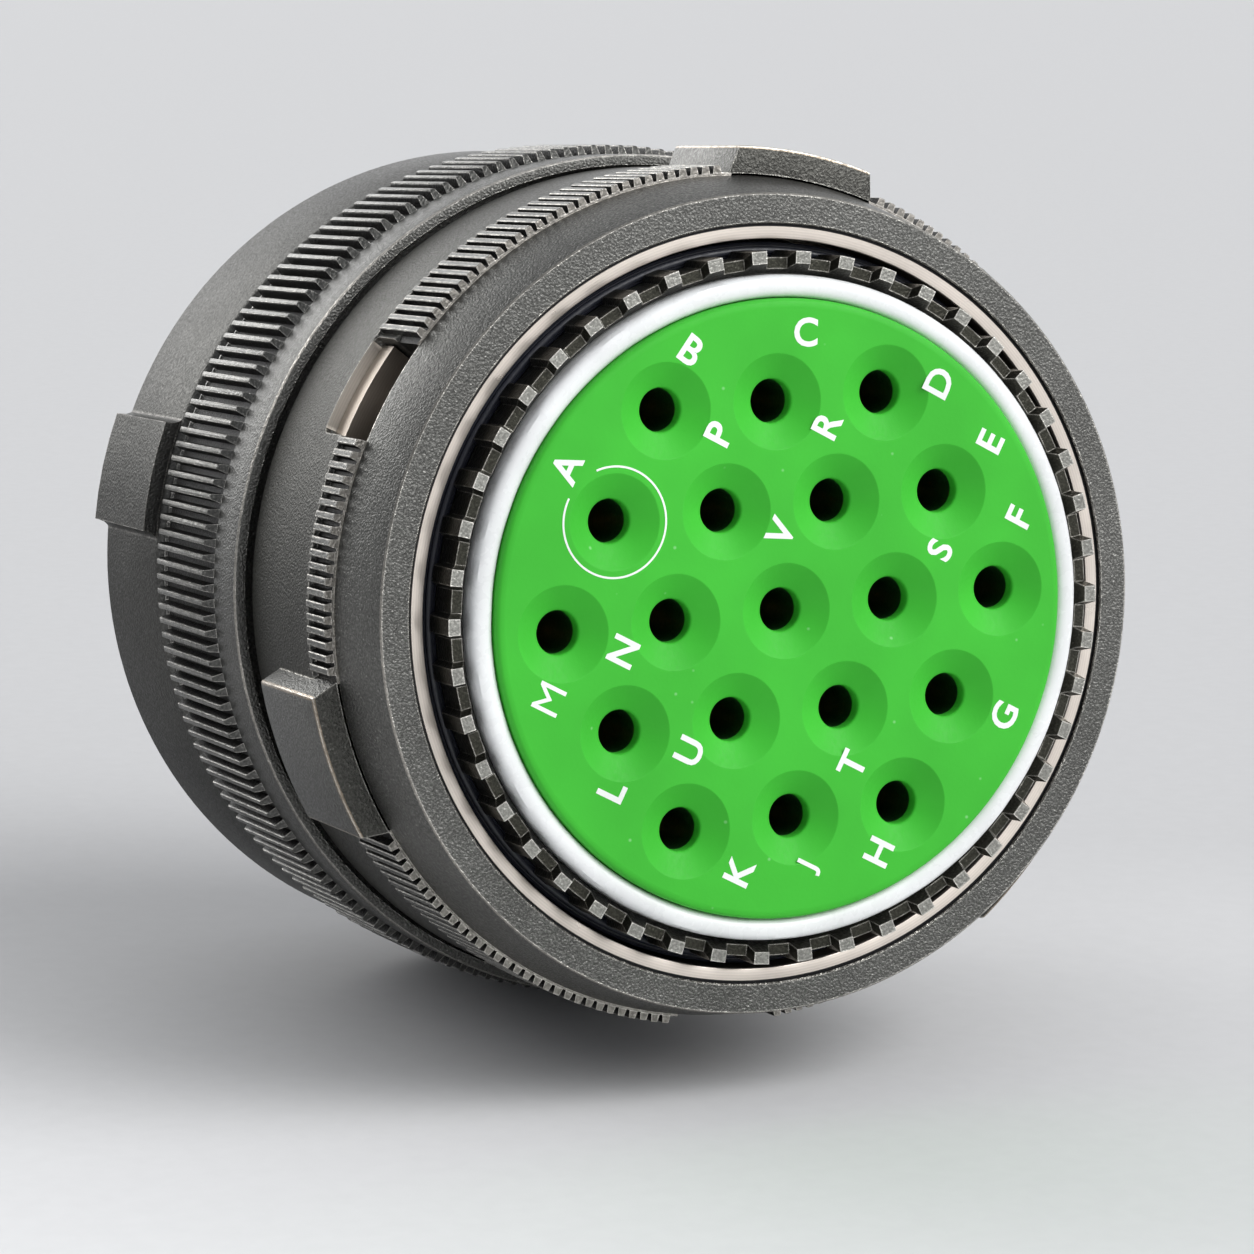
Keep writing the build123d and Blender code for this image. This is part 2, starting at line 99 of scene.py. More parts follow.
def dot_product(tree, first, second):
    """Dot product of two directions, the second a socket or fixed."""
    node = tree.nodes.new("ShaderNodeVectorMath")
    node.operation = "DOT_PRODUCT"
    feed(tree, first, node.inputs[0])
    feed(tree, second, node.inputs[1])
    return node.outputs["Value"]


def axis_distance(tree, place):
    """Distance of a point from the axis of the plug."""
    flat = tree.nodes.new("ShaderNodeVectorMath")
    flat.operation = "MULTIPLY"
    feed(tree, place, flat.inputs[0])
    feed(tree, Vector((1, 1, 0)), flat.inputs[1])
    length = tree.nodes.new("ShaderNodeVectorMath")
    length.operation = "LENGTH"
    feed(tree, flat.outputs["Vector"], length.inputs[0])
    return length.outputs["Value"]


def specks(tree, vector, scale, outer, inner, strength=1.0):
    """Small round spots, one in each cell of a Voronoi texture."""
    cells = tree.nodes.new("ShaderNodeTexVoronoi")
    feed(tree, scale, cells.inputs["Scale"])
    feed(tree, vector, cells.inputs["Vector"])
    return spread(tree, cells.outputs["Distance"], outer, inner, 0.0, strength)


def blend_colours(tree, factor, first, second, kind="MIX"):
    """Mix node of two colours, each a socket or a fixed colour."""
    node = tree.nodes.new("ShaderNodeMix")
    node.data_type = "RGBA"
    node.blend_type = kind
    feed(tree, factor, node.inputs["Factor"])
    for name, colour in (("A", first), ("B", second)):
        feed(tree, colour, next(i for i in node.inputs if i.name == name and i.type == "RGBA"))
    return next(o for o in node.outputs if o.type == "RGBA")


def grey_of(tree, value):
    """Colour with three equal channels."""
    node = tree.nodes.new("ShaderNodeCombineColor")
    for channel in ("Red", "Green", "Blue"):
        tree.links.new(value, node.inputs[channel])
    return node.outputs["Color"]


def add_bump(tree, height, strength, depth, out):
    """Bump of a given depth in metres, given out as the normal."""
    bump = tree.nodes.new("ShaderNodeBump")
    feed(tree, depth, bump.inputs["Distance"])
    feed(tree, strength, bump.inputs["Strength"])
    feed(tree, height, bump.inputs["Height"])
    feed(tree, bump.outputs["Normal"], out.inputs["Normal"])


def sockets(tree, colours, numbers, results):
    """Named inputs and outputs of a node group."""
    panel = tree.interface
    for name, colour in colours:
        panel.new_socket(name, in_out="INPUT", socket_type="NodeSocketColor").default_value = (*colour, 1)
    for name, number in numbers:
        panel.new_socket(name, in_out="INPUT", socket_type="NodeSocketFloat").default_value = number
    for name, kind in results:
        panel.new_socket(name, in_out="OUTPUT", socket_type="NodeSocket" + kind)
    return tree.nodes.new("NodeGroupInput"), tree.nodes.new("NodeGroupOutput")


finish_outputs = (("Color", "Color"), ("Roughness", "Float"), ("Normal", "Vector"))


def plating_group():
    """Blasted grain with bright specks, a cloudy tone, and edges rubbed to bare metal."""
    tree = bpy.data.node_groups.new("blasted_plating", "ShaderNodeTree")
    given, out = sockets(
        tree,
        (("Plating", (0.05, 0.05, 0.05)), ("Rubbed", (0.3, 0.3, 0.29))),
        (("Grain Scale", 9000.0), ("Grain", 0.6), ("Edge Width", 0.00006), ("Edge Wear", 0.6),
         ("Crest Radius", 1.0)),
        finish_outputs)
    place = tree.nodes.new("ShaderNodeTexCoord").outputs["Object"]
    grain = noise(tree, place, given.outputs["Grain Scale"], 2.0)
    cloud = noise(tree, place, 230.0, 4.0)
    breakup = noise(tree, place, 2600.0, 3.0)
    bevel = tree.nodes.new("ShaderNodeBevel")
    bevel.samples = 4
    feed(tree, given.outputs["Edge Width"], bevel.inputs["Radius"])
    surface = tree.nodes.new("ShaderNodeNewGeometry").outputs["Normal"]
    edge = spread(tree, dot_product(tree, bevel.outputs["Normal"], surface), 0.993, 0.92)
    over = combine(tree, "SUBTRACT", axis_distance(tree, place), given.outputs["Crest Radius"])
    crest = spread(tree, over, 0.0, 0.00006)
    touched = combine(tree, "MAXIMUM", edge, combine(tree, "MULTIPLY", crest, 0.75))
    worn = combine(tree, "MULTIPLY", touched, spread(tree, breakup, 0.34, 0.6, 0.25, 1.0))
    amount = combine(tree, "MULTIPLY", worn, given.outputs["Edge Wear"])
    shade = spread(tree, cloud, 0.3, 0.7, 0.9, 1.1)
    glint = specks(tree, place, 3600.0, 0.2, 0.1, 0.9)
    sparkle = combine(tree, "ADD", spread(tree, grain, 0.4, 0.7, 0.8, 1.3), glint)
    tone = grey_of(tree, combine(tree, "MULTIPLY", shade, sparkle))
    plated = blend_colours(tree, 1.0, given.outputs["Plating"], tone, "MULTIPLY")
    feed(tree, blend_colours(tree, amount, plated, given.outputs["Rubbed"]), out.inputs["Color"])
    matt = spread(tree, grain, 0.3, 0.7, 0.44, 0.28)
    polish = combine(tree, "MULTIPLY", amount, 0.12)
    feed(tree, combine(tree, "SUBTRACT", matt, polish), out.inputs["Roughness"])
    add_bump(tree, grain, given.outputs["Grain"], 0.00007, out)
    return tree


plating = plating_group()


def finished(name, group, colours, numbers, metallic, specular=0.5, edge_tint=1.0):
    """Material whose colour, roughness and normal come from a group."""
    material = bpy.data.materials.new(name)
    material.use_nodes = True
    tree = material.node_tree
    shader = tree.nodes["Principled BSDF"]
    feed(tree, metallic, shader.inputs["Metallic"])
    feed(tree, specular, shader.inputs["Specular IOR Level"])
    feed(tree, (edge_tint, edge_tint, edge_tint), shader.inputs["Specular Tint"])
    node = tree.nodes.new("ShaderNodeGroup")
    node.node_tree = group
    for socket, value in (colours | numbers).items():
        feed(tree, value, node.inputs[socket])
    feed(tree, node.outputs["Color"], shader.inputs["Base Color"])
    feed(tree, node.outputs["Roughness"], shader.inputs["Roughness"])
    feed(tree, node.outputs["Normal"], shader.inputs["Normal"])
    return material


def dress(material, *names):
    """Gives CAD nodes their finish."""
    for name in names:
        for holder in frame["nodes"][name].material_slots:
            holder.material = material


olive = finished("olive_plating", plating, {"Plating": (0.13, 0.127, 0.11), "Rubbed": (0.75, 0.72, 0.66)},
                 {"Grain Scale": 11000.0, "Grain": 0.45, "Edge Width": 0.00005, "Edge Wear": 0.85},
                 metallic=0.85)
dress(olive, "plug_shell")

# Inserts behind the face: two moulded plates and a rubber grommet that hold the contacts.
# They are plain mouldings with a fine grain and hardly show in the finished plug.


def moulding_group():
    """Fine moulded grain, pale specks of dust and a slightly uneven tone."""
    tree = bpy.data.node_groups.new("moulding", "ShaderNodeTree")
    given, out = sockets(
        tree, (("Body", (0.1, 0.1, 0.1)), ("Dust", (0.6, 0.6, 0.58))),
        (("Grain Scale", 7000.0), ("Grain", 0.2), ("Dust Amount", 0.1), ("Low Roughness", 0.35),
         ("High Roughness", 0.5)), finish_outputs)
    place = tree.nodes.new("ShaderNodeTexCoord").outputs["Object"]
    grain = noise(tree, place, given.outputs["Grain Scale"], 2.0)
    shade = grey_of(tree, spread(tree, noise(tree, place, 180.0, 3.0), 0.3, 0.7, 0.9, 1.08))
    body = blend_colours(tree, 1.0, given.outputs["Body"], shade, "MULTIPLY")
    dust = combine(tree, "MULTIPLY", specks(tree, place, 700.0, 0.07, 0.03), given.outputs["Dust Amount"])
    feed(tree, blend_colours(tree, dust, body, given.outputs["Dust"]), out.inputs["Color"])
    satin = spread(tree, grain, 0.35, 0.65, given.outputs["Low Roughness"], given.outputs["High Roughness"])
    feed(tree, satin, out.inputs["Roughness"])
    add_bump(tree, grain, given.outputs["Grain"], 0.00002, out)
    return tree


moulding = moulding_group()
insert_plastic = finished("insert_plastic", moulding, {"Body": (0.035, 0.035, 0.038)}, {"Dust Amount": 0.0},
                          metallic=0.0)
dress(insert_plastic, "socket_insert", "grommet_follower")
grommet_rubber = finished("grommet_rubber", moulding, {"Body": (0.03, 0.22, 0.04)}, {"Dust Amount": 0.0},
                          metallic=0.0)
dress(grommet_rubber, "rear_grommet")

# Socket contacts: turned from copper alloy and plated with gold, nineteen of them.
# Each sits deep in its cavity, where only a glint of it shows.


def turned_group():
    """Fine rings from the lathe, with small dark pits and a changing tone."""
    tree = bpy.data.node_groups.new("turned_metal", "ShaderNodeTree")
    given, out = sockets(
        tree, (("Metal", (0.6, 0.58, 0.54)), ("Pits", (0.08, 0.07, 0.06))),
        (("Ring Scale", 3000.0), ("Rings", 0.25), ("Pit Amount", 0.4), ("Roughness", 0.25)), finish_outputs)
    place = tree.nodes.new("ShaderNodeTexCoord").outputs["Object"]
    rings = tree.nodes.new("ShaderNodeTexWave")
    rings.wave_type = "RINGS"
    rings.rings_direction = "Z"
    feed(tree, 0.6, rings.inputs["Distortion"])
    feed(tree, 2.0, rings.inputs["Detail"])
    feed(tree, 0.4, rings.inputs["Detail Scale"])
    feed(tree, place, rings.inputs["Vector"])
    feed(tree, given.outputs["Ring Scale"], rings.inputs["Scale"])
    lines = rings.outputs["Fac"]
    cloud = spread(tree, noise(tree, place, 160.0, 3.0), 0.3, 0.7, 0.84, 1.1)
    shade = grey_of(tree, combine(tree, "MULTIPLY", cloud, spread(tree, lines, 0.0, 1.0, 0.94, 1.04)))
    metal = blend_colours(tree, 1.0, given.outputs["Metal"], shade, "MULTIPLY")
    pits = combine(tree, "MULTIPLY", specks(tree, place, 420.0, 0.05, 0.025), given.outputs["Pit Amount"])
    feed(tree, blend_colours(tree, pits, metal, given.outputs["Pits"]), out.inputs["Color"])
    rub = spread(tree, noise(tree, place, 900.0, 3.0), 0.3, 0.7, -0.05, 0.07)
    feed(tree, combine(tree, "ADD", rub, given.outputs["Roughness"]), out.inputs["Roughness"])
    add_bump(tree, lines, given.outputs["Rings"], 0.000004, out)
    return tree


turned_metal = turned_group()
gold = finished("gold_plate", turned_metal, {"Metal": (0.75, 0.5, 0.18)}, {"Pit Amount": 0.0}, metallic=1.0)
dress(gold, *["contact_" + letter for letter in "abcdefghjklmnprstuv"])

# Face: a moulded disc of green silicone rubber, bonded into the nose, with a dish round each hole.
# The dishes lead the pins of the other half in and seal round them.
MM = 0.001


def about_axis(degrees):
    """Turn about the axis of the plug."""
    return Matrix.Rotation(math.radians(degrees), 3, "Z")


def finish_piece(mesh, name, material, body, slot, *replaced):
    """Turns a mesh in millimetres into a piece that rides on a body."""
    bmesh.ops.recalc_face_normals(mesh, faces=mesh.faces)
    bmesh.ops.scale(mesh, vec=(MM, MM, MM), verts=mesh.verts)
    data = bpy.data.meshes.new(name)
    mesh.to_mesh(data)
    mesh.free()
    data.shade_smooth()
    data.set_sharp_from_angle(angle=math.radians(32))
    data.materials.append(material)
    piece = bpy.data.objects.new(name, data)
    bpy.context.scene.collection.objects.link(piece)
    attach(piece, body)
    if replaced:
        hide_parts(*replaced)
    return piece


def spun(mesh, outline, steps, start=0.0, sweep=360.0, closed=True):
    """Spins an outline of (radius, height) points about Z, and gives the new points back."""
    old = set(mesh.verts)
    points = [mesh.verts.new((radius, 0, height)) for radius, height in outline]
    first = 0 if closed else 1
    edges = [mesh.edges.new((points[i - 1], points[i])) for i in range(first, len(points))]
    bmesh.ops.rotate(mesh, verts=points, cent=(0, 0, 0), matrix=about_axis(start))
    bmesh.ops.spin(mesh, geom=points + edges, cent=(0, 0, 0), axis=(0, 0, 1), dvec=(0, 0, 0),
                   angle=math.radians(sweep), steps=steps, use_merge=sweep == 360.0, use_duplicate=False)
    return [vert for vert in mesh.verts if vert not in old]


face_top = 43.3
face_bottom = 38.5
face_radius = 13.78
dish_radius = 2.14
dish_floor = face_top - 0.6
dish_foot_radius = 1.08
hole_radius = 0.97
hole_start = face_top - 1.25
pitch = 5.35
layout_turn = -60.0
row_names = ("bcd", "apre", "mnvsf", "lutg", "kjh")
holes = {}
for row, names in enumerate(row_names):
    for i, letter in enumerate(names):
        spot = Vector(((i - (len(names) - 1) / 2) * pitch, (2 - row) * pitch * math.sqrt(0.75), 0))
        holes[letter] = about_axis(layout_turn) @ spot

green = finished("green_silicone", moulding, {"Body": (0.05, 0.445, 0.036), "Dust": (0.4, 0.75, 0.38)},
                 {"Grain Scale": 5200.0, "Grain": 0.22, "Dust Amount": 0.35, "Low Roughness": 0.4,
                  "High Roughness": 0.56}, metallic=0.0, specular=0.15)
disc = bmesh.new()
spun(disc, [(face_radius - 0.4, face_top), (face_radius - 0.38, face_top),
            (face_radius - 0.18, face_top - 0.02), (face_radius - 0.08, face_top - 0.08),
            (face_radius - 0.02, face_top - 0.18), (face_radius, face_top - 0.32),
            (face_radius, face_bottom)], 192, closed=False)


def split_open(edges):
    """Parts open edges into those at the top of the disc and those at its foot."""
    level = (face_top + face_bottom) / 2
    open_edges = [edge for edge in edges if edge.is_boundary]
    return ([edge for edge in open_edges if edge.verts[0].co.z > level],
            [edge for edge in open_edges if edge.verts[0].co.z < level])


rim_edges, foot_edges = split_open(disc.edges)
mouth = [(dish_radius + 0.02, face_top), (dish_radius, face_top), (dish_radius - 0.03, face_top - 0.012),
         (dish_radius - 0.06, face_top - 0.035), (dish_foot_radius, dish_floor),
         (dish_foot_radius - 0.06, dish_floor - 0.04), (hole_radius + 0.015, dish_floor - 0.09),
         (hole_radius + 0.005, dish_floor - 0.17), (hole_radius, hole_start), (hole_radius, face_bottom)]
for spot in holes.values():
    known = set(disc.edges)
    fresh = spun(disc, mouth, 56, closed=False)
    new_rim, new_foot = split_open([edge for edge in disc.edges if edge not in known])
    rim_edges += new_rim
    foot_edges += new_foot
    bmesh.ops.translate(disc, verts=fresh, vec=spot)
bmesh.ops.triangle_fill(disc, use_beauty=True, use_dissolve=False, edges=rim_edges, normal=(0, 0, 1))
bmesh.ops.triangle_fill(disc, use_beauty=True, use_dissolve=False, edges=foot_edges, normal=(0, 0, -1))
face = finish_piece(disc, "green_face", green, "shell", "green_rubber", "front_insert")


def add_finish(piece, material):
    """Adds another finish to a piece, and gives back the slot that its faces name it by."""
    piece.data.materials.append(material)
    return len(piece.data.materials) - 1


# Deep in the holes the rubber is coloured nearly black: painted shade inside the holes.
hole_shade_slot = add_finish(face, finished("painted_hole_shade", moulding, {"Body": (0.004, 0.03, 0.005)},
                                      {"Dust Amount": 0.0}, metallic=0.0))
for side in face.data.polygons:
    if side.center.z < (hole_start - 0.05) * MM and side.center.xy.length < (face_radius - 0.78) * MM:
        side.material_index = hole_shade_slot

# Contact letters and the ring round the first contact: white ink, printed on the green rubber.
# The ink stands a hundredth of a millimetre proud.
ink = finished("white_ink", moulding, {"Body": (0.8, 0.84, 0.8), "Dust": (0.5, 0.7, 0.5)},
               {"Grain Scale": 6000.0, "Grain": 0.15, "Dust Amount": 0.2, "Low Roughness": 0.4,
                "High Roughness": 0.5}, metallic=0.0)
# Middle of each letter in millimetres, and the direction in degrees in which its top points.
letter_places = {
    "B": (8.20, 9.37, -9), "C": (11.35, 4.78, 25), "D": (12.26, -2.16, 90), "A": (1.14, 12.40, 90),
    "P": (5.57, 6.55, 90), "R": (8.20, 1.98, 90), "E": (11.04, -5.73, 90), "V": (2.99, 1.85, 90),
    "S": (5.62, -5.67, 90), "F": (8.65, -8.63, 90), "M": (-8.15, 8.61, 90), "N": (-4.86, 6.36, 90),
    "L": (-10.51, 4.08, 90), "U": (-7.47, 1.47, 90), "T": (-4.76, -6.11, 90), "G": (0.31, -12.12, 90),
    "K": (-11.24, -3.19, 90), "J": (-9.75, -6.25, 90), "H": (-7.75, -9.15, 90)}
cap_height = 1.3
ink_height = 0.012
stroke_gain = 0.022
circle_inner = 2.38
circle_outer = 2.47
circle_sweep = 318.0
print_mesh = bmesh.new()
for letter, (x, y, up) in letter_places.items():
    curve = bpy.data.curves.new("letter", "FONT")
    curve.body = letter
    curve.resolution_u = 4
    # The thin folds of the M can't take a thicker stroke.
    curve.offset = 0.0 if letter == "M" else stroke_gain
    glyph = bpy.data.objects.new("letter", curve)
    bpy.context.scene.collection.objects.link(glyph)
    bpy.context.view_layer.update()
    shape = bpy.data.meshes.new_from_object(glyph.evaluated_get(bpy.context.evaluated_depsgraph_get()))
    old = set(print_mesh.verts)
    print_mesh.from_mesh(shape)
    fresh = [vert for vert in print_mesh.verts if vert not in old]
    low = Vector((min(v.co.x for v in fresh), min(v.co.y for v in fresh), 0))
    high = Vector((max(v.co.x for v in fresh), max(v.co.y for v in fresh), 0))
    bmesh.ops.translate(print_mesh, verts=fresh, vec=-(low + high) / 2)
    growth = cap_height / (high.y - low.y)
    bmesh.ops.scale(print_mesh, vec=(growth, growth, 1), verts=fresh)
    bmesh.ops.rotate(print_mesh, verts=fresh, cent=(0, 0, 0), matrix=about_axis(up - 90))
    bmesh.ops.translate(print_mesh, verts=fresh, vec=(x, y, face_top + ink_height))
    bpy.data.objects.remove(glyph)
    bpy.data.curves.remove(curve)
    bpy.data.meshes.remove(shape)
bmesh.ops.remove_doubles(print_mesh, verts=print_mesh.verts, dist=0.001)
walls = bmesh.ops.extrude_face_region(print_mesh, geom=list(print_mesh.faces), use_keep_orig=True)
bmesh.ops.translate(print_mesh, verts=[v for v in walls["geom"] if isinstance(v, bmesh.types.BMVert)],
                    vec=(0, 0, -2 * ink_height))
circle = spun(print_mesh, [(circle_inner, face_top - ink_height), (circle_outer, face_top - ink_height),
                           (circle_outer, face_top + ink_height), (circle_inner, face_top + ink_height)],
              110, start=90.0, sweep=circle_sweep)
open_ends = [edge for edge in print_mesh.edges if edge.is_boundary]
bmesh.ops.holes_fill(print_mesh, edges=open_ends, sides=4)
bmesh.ops.translate(print_mesh, verts=circle, vec=holes["a"])
finish_piece(print_mesh, "contact_letters", ink, "shell", "white_plastic")

# White ring: a sleeve of hard white plastic, pressed between the green face and the toothed ring.
# It is moulded, so its top is round and a little wavy, with a satin gloss.
white = finished("white_plastic", moulding, {"Body": (0.76, 0.77, 0.77), "Dust": (0.48, 0.48, 0.45)},
                 {"Grain Scale": 1800.0, "Grain": 0.015, "Dust Amount": 0.1, "Low Roughness": 0.2,
                  "High Roughness": 0.34}, metallic=0.0)
sleeve_inner = face_radius + 0.02
sleeve_outer = 14.8
sleeve_bottom = face_bottom
sleeve_top = 43.05
sleeve = bmesh.new()
spun(sleeve, [(sleeve_inner, sleeve_bottom), (sleeve_outer, sleeve_bottom),
              (sleeve_outer, sleeve_top - 0.45), (sleeve_outer - 0.04, sleeve_top - 0.23),
              (sleeve_outer - 0.14, sleeve_top - 0.09), (sleeve_outer - 0.3, sleeve_top - 0.02),
              (sleeve_outer - 0.5, sleeve_top), (sleeve_inner + 0.3, sleeve_top - 0.02),
              (sleeve_inner + 0.13, sleeve_top - 0.11), (sleeve_inner + 0.03, sleeve_top - 0.25),
              (sleeve_inner, sleeve_top - 0.45)], 360)
for vert in sleeve.verts:
    if vert.co.z > sleeve_top - 0.35:
        turn = math.atan2(vert.co.y, vert.co.x)
        vert.co.z += 0.008 * math.sin(23 * turn) + 0.006 * math.sin(41 * turn + 1.0)
        away = vert.co.xy.length
        if sleeve_inner + 0.1 < away < sleeve_outer - 0.1:
            wave = 0.008 * math.sin(17 * turn + 2.0) + 0.006 * math.sin(37 * turn)
            vert.co.xy = vert.co.xy * (1 + wave / away)
finish_piece(sleeve, "white_sleeve", white, "shell", "white_plastic", "insert_sleeve")

# Toothed ring: a machined crown of forty-six flat-topped ridges on the nose, which earths the two shells.
# Its wall is fluted, and the edges of the ridges shine where the plating has worn through.
teeth = 46
tooth_steps = 8
crown_top = 42.9
crown_bottom = 40.7
bore_radius = sleeve_outer + 0.05
crown_radius = 15.85
lead_width = 0.45
lead_height = 0.9
crest_half = 1.35
foot_half = 2.05
flute_depth = 0.3
valley_depth = 0.5
worn_olive = finished("worn_olive", plating, {"Plating": (0.26, 0.257, 0.235), "Rubbed": (0.95, 0.92, 0.85)},
                      {"Grain Scale": 8000.0, "Grain": 0.5, "Edge Width": 0.00011, "Edge Wear": 1.0},
                      metallic=0.9)
crown = bmesh.new()
spun(crown, [(bore_radius, crown_bottom), (crown_radius, crown_bottom), (crown_radius, crown_top),
             (bore_radius + lead_width, crown_top), (bore_radius, crown_top - lead_height)],
     teeth * tooth_steps)
# Each tooth takes eight steps of the spin: its flat crest, two flanks and the valley beside them.
for vert in crown.verts:
    turn = math.degrees(math.atan2(vert.co.y, vert.co.x)) % 360
    phase = turn / 360 * teeth * tooth_steps
    step = round(phase) % tooth_steps
    nearest = round(phase / tooth_steps) * tooth_steps
    aside = phase - nearest
    if step in (1, 7):
        aside = math.copysign(crest_half, aside)
    elif step in (2, 6):
        aside = math.copysign(foot_half, aside)
    share = min(1.0, max(0.0, (abs(aside) - crest_half) / (foot_half - crest_half)))
    ridge_top = crown_top - valley_depth * share
    radius = vert.co.xy.length
    height = vert.co.z
    if radius > bore_radius + lead_width + 0.1:
        radius = crown_radius - flute_depth * share
        if height > crown_bottom + 1:
            height = ridge_top
    elif radius > bore_radius + 0.1:
        radius = bore_radius + lead_width * (1 - valley_depth * share / lead_height)
        height = ridge_top
    angle = math.radians((nearest + aside) * 360 / (teeth * tooth_steps))
    vert.co = Vector((radius * math.cos(angle), radius * math.sin(angle), height))
bmesh.ops.remove_doubles(crown, verts=crown.verts, dist=0.002)
toothed = finish_piece(crown, "toothed_crown", worn_olive, "shell", "olive_plate", "toothed_ring")
# The flanks and the floors of the flutes are coloured far darker than the tops: painted shade in the
# valleys.
flute_shade_slot = add_finish(toothed, finished(
    "flute_painted_shade", plating, {"Plating": (0.04, 0.039, 0.031), "Rubbed": (0.75, 0.72, 0.65)},
    {"Grain Scale": 8000.0, "Grain": 0.5, "Edge Width": 0.00009, "Edge Wear": 0.75}, metallic=0.9))
for side in toothed.data.polygons:
    if side.center.z < (crown_top - 0.1) * MM or side.normal.z < 0.5:
        side.material_index = flute_shade_slot

# Gasket: a ring of blue-black rubber in the bottom of the mating groove, with two fine moulded lines.
# It seals the rim of the other half.
rubber = finished("black_rubber", moulding, {"Body": (0.013, 0.015, 0.024), "Dust": (0.2, 0.2, 0.22)},
                  {"Grain Scale": 3500.0, "Grain": 0.3, "Dust Amount": 0.35, "Low Roughness": 0.3,
                   "High Roughness": 0.45}, metallic=0.0)
gasket_inner = 15.52
gasket_outer = 16.2
gasket_bottom = 38.1
gasket_top = 40.6
line_floor = gasket_top - 0.18
gasket = bmesh.new()
spun(gasket, [(gasket_inner, gasket_bottom), (gasket_outer, gasket_bottom),
              (gasket_outer, gasket_top - 0.22), (gasket_outer - 0.03, gasket_top - 0.14),
              (gasket_outer - 0.1, gasket_top - 0.1),
              (gasket_outer - 0.15, gasket_top - 0.12), (16.03, line_floor), (16.0, line_floor),
              (15.98, gasket_top - 0.08), (15.9, gasket_top - 0.02), (15.8, gasket_top),
              (15.7, gasket_top - 0.02), (15.66, gasket_top - 0.1), (15.63, gasket_top - 0.1),
              (15.6, gasket_top - 0.05), (15.55, gasket_top - 0.08), (gasket_inner, line_floor)], 256)
finish_piece(gasket, "rubber_gasket", rubber, "shell", "black_rubber", "joint_gasket")
dress(rubber, "body_seal")

# Bayonet sleeve: a turned steel sleeve inside the coupling ring, with three spiral ramps for the pins.
# It is bare metal, warm in tone, and its rim shows rings from the lathe and a few pits.
# Its colour is half as bright as the lip's: painted shade inside the ring.
shaded_sleeve_steel = finished("shaded_sleeve_steel", turned_metal,
                        {"Metal": (0.36, 0.31, 0.26), "Pits": (0.08, 0.06, 0.05)},
                        {"Ring Scale": 2600.0, "Rings": 0.5, "Pit Amount": 0.6, "Roughness": 0.36},
                        metallic=0.8)
dress(shaded_sleeve_steel, "ramp_sleeve")

# Lip of the bayonet sleeve: its front rim, polished by the other half as it goes in and out.
# It covers the ends of the ramps and catches the light.
steel = finished("turned_steel", turned_metal, {"Metal": (0.72, 0.65, 0.58), "Pits": (0.12, 0.09, 0.07)},
                 {"Ring Scale": 2600.0, "Rings": 0.25, "Pit Amount": 0.6, "Roughness": 0.32}, metallic=0.8)
lip_inner = 16.34
lip_outer = 17.05
lip_rear = 40.9
lip_front = 41.13
gap_start = 16.9
lip = bmesh.new()
spun(lip, [(lip_inner, lip_rear), (lip_outer, lip_rear), (lip_outer, lip_front - 0.02),
           (gap_start, lip_front - 0.02), (gap_start - 0.02, lip_front), (lip_inner + 0.07, lip_front),
           (lip_inner + 0.02, lip_front - 0.02), (lip_inner, lip_front - 0.05)], 300)
rim_lip = finish_piece(lip, "sleeve_lip", steel, "coupling_ring", "steel")
# The fine gap between the lip and the coupling ring is coloured black: painted shade in the gap.
gap_shade_slot = add_finish(rim_lip, finished("gap_painted_shade", moulding, {"Body": (0.008, 0.008, 0.009)},
                                         {"Dust Amount": 0.0}, metallic=0.0, specular=0.2))
for side in rim_lip.data.polygons:
    if side.center.xy.length > (gap_start - 0.01) * MM:
        side.material_index = gap_shade_slot

# Springs, washers and retaining rings: formed from spring steel strip or wire, and left bright.
# The wave spring draws the coupling ring to the rear and the snap ring holds it on the shell.
# The wire ring keeps the nut on the rear body.
spring_steel = finished("spring_steel", turned_metal, {"Metal": (0.5, 0.49, 0.47)}, {"Pit Amount": 0.1},
                        metallic=1.0)
dress(spring_steel, "wave_spring", "spring_washer", "shell_snap_ring", "nut_wire_ring", "nut_washer")

# Coupling ring: turned from aluminium bar, milled for the lugs and the sight windows, then knurled.
# Blasted and plated dark grey. The flat tops of the knurl and the edges of the lugs are rubbed bright.
grey = finished("grey_plating", plating, {"Plating": (0.118, 0.117, 0.11), "Rubbed": (0.8, 0.77, 0.7)},
                {"Grain Scale": 9000.0, "Grain": 0.9, "Edge Width": 0.0001, "Edge Wear": 0.9},
                metallic=0.9, edge_tint=0.75)
ring_turn = 136.5
ring_rear = 27.2
ring_front = 41.3
ring_radius = 19.45
rim_radius = 18.37
skirt_bore = 18.0
flange_bore = 15.98
flange_rear = 28.43
flange_front = 29.53
sleeve_bore = 17.27
mouth_bore = 17.02
knurl_front = 37.5
short_rear = 35.1
long_rear = 32.8
knurl_root = 19.2
knurl_crest = 19.57
step_height = 0.08
window_rear = 32.9
window_place = 50.2
window_middle = ring_turn - window_place
window_width = 14.4
window_corner = 0.36
bar_count = 216
bar_foot = 19.02
bar_base_width = 0.46
bar_top_width = 0.3
lug_foot = 18.9
lug_top = 20.45
lug_rear = 30.5
lug_base_width = 22.6
lug_top_width = 19.0
lug_chamfer = 0.13
long_start = 57.5
long_end = 109.5
ring = bmesh.new()
outline = [(skirt_bore, ring_rear), (19.1, ring_rear), (19.3, ring_rear + 0.1),
           (ring_radius, ring_rear + 0.35), (ring_radius, long_rear), (ring_radius, window_rear),
           (ring_radius, short_rear), (knurl_root, short_rear + step_height), (knurl_root, knurl_front),
           (knurl_root - 0.1, knurl_front),
           (rim_radius, ring_front - 0.08), (rim_radius - 0.07, ring_front),
           (mouth_bore + 0.05, ring_front), (mouth_bore, ring_front - 0.04),
           (mouth_bore, ring_front - 0.14), (sleeve_bore, ring_front - 0.14)]
